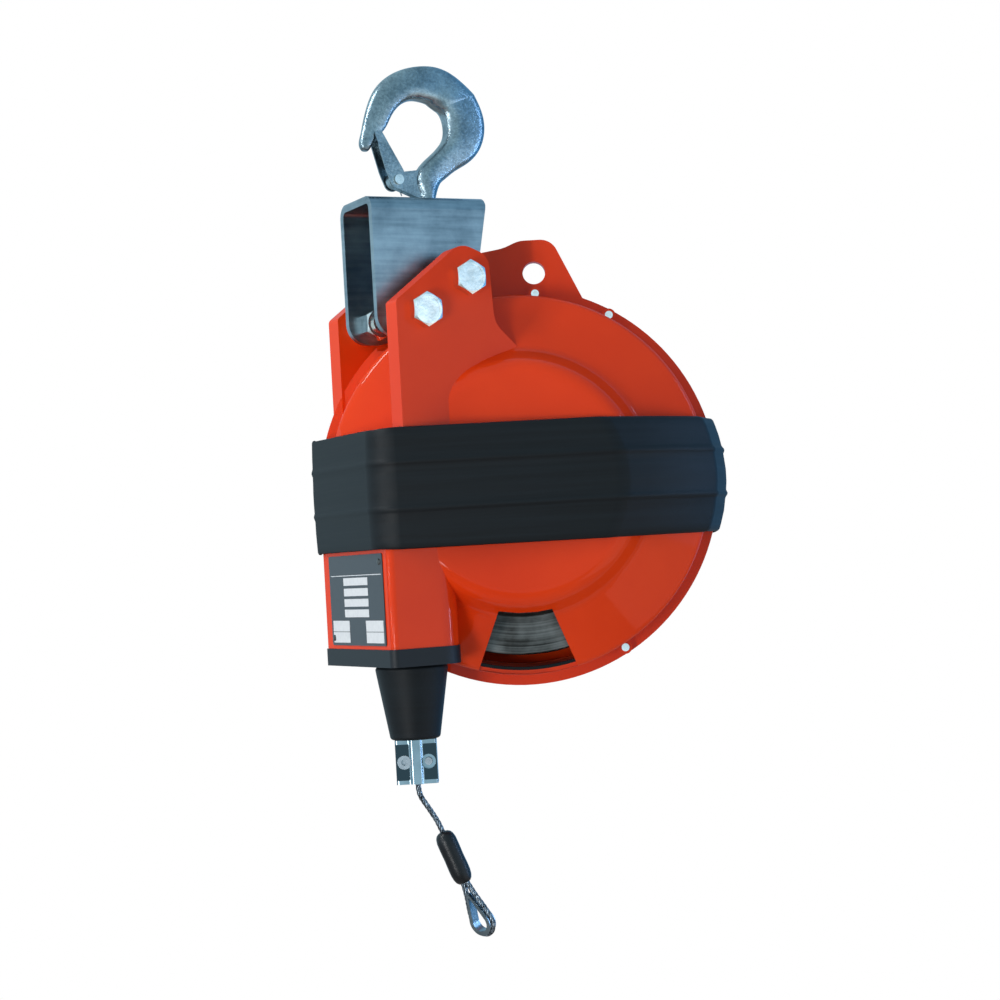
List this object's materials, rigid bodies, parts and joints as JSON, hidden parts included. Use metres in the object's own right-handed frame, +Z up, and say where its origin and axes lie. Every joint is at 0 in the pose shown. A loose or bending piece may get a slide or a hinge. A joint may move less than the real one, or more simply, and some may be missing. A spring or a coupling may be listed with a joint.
{
  "type": "tool balancer",
  "caption": "Spring balancer: cast drum housing with belt under a swivelling safety hook, a wire rope with buffer, clamp and thimble eye out of its neck.",
  "frame": {"origin": "the point inside the suspension hook's bowl that bears on the support", "axes": "+Z up, the front of the housing and the heads of the front bolts towards -Y, the rope outlet and data plate on the -X side"},
  "size_m": [0.31, 0.2332, 0.7077],
  "materials": {
    "aluminium": "turned aluminium",
    "brass": "plain bronze",
    "chrome": "bright nickel-chrome plate",
    "orange": "gloss red-orange stoving enamel on cast aluminium",
    "plastic": "black moulded plastic",
    "plate": "anodised data plate with blank fields",
    "rope": "galvanised strand",
    "rubber": "smooth black rubber",
    "spring_steel": "blued spring steel, lightly greased",
    "steel": "plain ground steel",
    "white_plastic": "natural nylon",
    "zinc": "bright zinc plating"
  },
  "bodies": {
    "hook": {"suspension_hook": "zinc", "hook_nut": "zinc", "thrust_washer": "steel", "cotter_pin": "steel", "latch_pin": "zinc", "latch_spring": "spring_steel"},
    "latch": {"safety_latch": "zinc"},
    "housing": {"suspension_bracket": "zinc", "ear_bolts": "zinc", "bracket_nuts": "zinc", "bracket_spacers": "zinc", "front_cover": "orange", "rear_cover": "orange", "cover_screws": "steel", "gear_cover": "orange", "gear_cover_screws": "steel", "outlet_plate": "plastic", "outlet_screws": "steel", "guide_bush": "white_plastic", "data_plate": "plate", "plate_rivets": "aluminium", "rubber_belt": "rubber", "rope_run": "rope"},
    "arbor_group": {"arbor": "steel", "spring_core": "steel", "worm_wheel": "brass", "power_spring": "spring_steel"},
    "worm_group": {"tension_worm": "steel"},
    "drum": {"rope_drum": "aluminium", "wound_rope": "rope", "spring_cover": "steel", "drum_bearings": "steel"},
    "rope_end": {"rope_buffer": "rubber", "clamp_front": "chrome", "clamp_back": "chrome", "clamp_screws": "steel", "rope_tail": "rope", "ferrule": "rubber", "rope_eye": "rope", "thimble": "zinc"}
  },
  "joints": [
    {"name": "hook_swivel", "type": "hinge", "parent": "hook", "child": "housing", "pos_m": [0, 0, -0.084], "axis": [0, 0, 1], "continuous": true},
    {"name": "latch_hinge", "type": "hinge", "parent": "hook", "child": "latch", "pos_m": [-0.0255, 0, -0.067], "axis": [0, 1, 0], "range_deg": [0, 35], "stiffness_Nm_per_rad": 0.05, "springref_deg": -17.19},
    {"name": "drum_spin", "type": "hinge", "parent": "housing", "child": "drum", "pos_m": [0.072, 0, -0.32], "axis": [-0.454, -0.891, 0], "range_deg": [0, 1169.3]},
    {"name": "tension_turn", "type": "hinge", "parent": "housing", "child": "arbor_group", "pos_m": [0.072, 0, -0.32], "axis": [-0.454, -0.891, 0], "continuous": true},
    {"name": "worm_turn", "type": "hinge", "parent": "housing", "child": "worm_group", "pos_m": [0.12542, 0.02048, -0.32], "axis": [0, 0, 1], "continuous": true},
    {"name": "rope_travel", "type": "slide", "parent": "housing", "child": "rope_end", "axis": [0, 0, -1], "range_m": [0, 2], "deforming": ["rope_run"]}
  ],
  "couplings": [
    {"joint": "rope_travel", "follows": "drum_spin", "m_per_rad": 0.098},
    {"joint": "worm_turn", "follows": "tension_turn", "ratio": -30}
  ]
}
